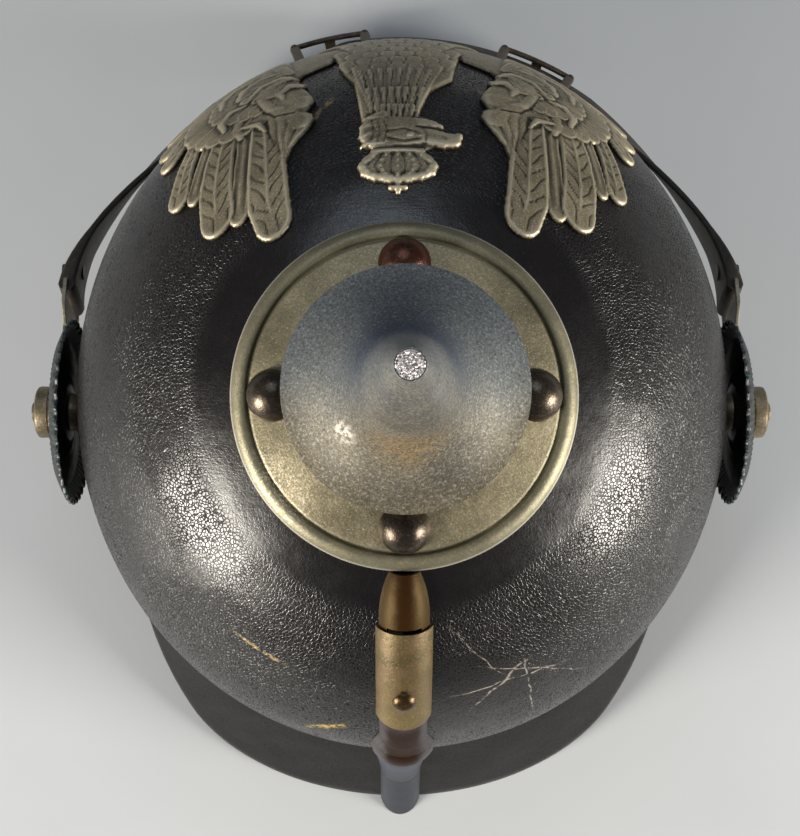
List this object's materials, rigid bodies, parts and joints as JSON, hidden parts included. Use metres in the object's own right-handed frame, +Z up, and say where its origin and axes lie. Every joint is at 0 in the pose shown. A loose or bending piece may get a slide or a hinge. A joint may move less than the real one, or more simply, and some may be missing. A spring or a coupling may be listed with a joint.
{
  "type": "leather spiked helmet",
  "caption": "Oval leather military dress helmet with front and rear visors, a lift-off metal spike, a sliding rear vent cover, an eagle plate, a chin strap with buckles and a leather liner.",
  "frame": {"origin": "on the spike's axis, at the level of the table under the visors' edges", "axes": "+X towards the wearer's left, -Y towards the front, +Z up along the spike"},
  "size_m": [0.212, 0.2539, 0.241],
  "materials": {
    "black_leather": "black lacquer with fine crackle",
    "strap_leather": "worn dark brown leather",
    "liner_leather": "bare tan leather",
    "grey_metal": "dull aged grey metal",
    "dark_metal": "dark tarnished metal",
    "brass_metal": "tarnished brass",
    "cockade_paint": "black enamel with a pale ring"
  },
  "bodies": {
    "helmet": {"skull_shell": "black_leather", "front_visor": "black_leather", "front_visor_trim": "grey_metal", "rear_visor": "black_leather", "base_plate": "grey_metal", "plate_studs": "dark_metal", "stud_washers": "grey_metal", "spike_neck": "grey_metal", "rear_spine": "dark_metal", "spine_pins": "grey_metal", "side_post_left": "brass_metal", "side_post_right": "brass_metal", "post_nut_left": "grey_metal", "post_nut_right": "grey_metal", "cockade_left": "cockade_paint", "cockade_right": "cockade_paint", "front_plate": "grey_metal", "plate_loops": "grey_metal", "loop_wedges": "strap_leather", "liner_band": "liner_leather", "liner_tongues": "liner_leather"},
    "spike": {"spike_shell": "grey_metal", "spike_plug": "grey_metal"},
    "vent_cover": {"vent_slide": "grey_metal", "vent_slide_knob": "brass_metal"},
    "strap": {"strap_end_left": "grey_metal", "strap_end_right": "grey_metal", "chin_strap_left": "strap_leather", "chin_strap_right": "strap_leather", "strap_rivets": "dark_metal"},
    "left_buckle": {"buckle_left": "dark_metal"},
    "right_buckle": {"buckle_right": "dark_metal"}
  },
  "joints": [
    {"name": "spike_lift", "type": "slide", "parent": "helmet", "child": "spike", "axis": [0, 0, 1], "range_m": [0, 0.045]},
    {"name": "vent_slide", "type": "hinge", "parent": "helmet", "child": "vent_cover", "pos_m": [0, 0.02206, 0.072], "axis": [-1, 0, 0], "range_deg": [0, 9]},
    {"name": "strap_swing", "type": "hinge", "parent": "helmet", "child": "strap", "pos_m": [0, 0, 0.064], "axis": [-1, 0, 0], "range_deg": [0, 60]},
    {"name": "left_buckle_slide", "type": "hinge", "parent": "strap", "child": "left_buckle", "pos_m": [0, -0.01884, 0.0175], "axis": [0, 0, 1], "range_deg": [-4, 10]},
    {"name": "right_buckle_slide", "type": "hinge", "parent": "strap", "child": "right_buckle", "pos_m": [0, -0.01884, 0.0175], "axis": [0, 0, 1], "range_deg": [-3, 12]}
  ]
}
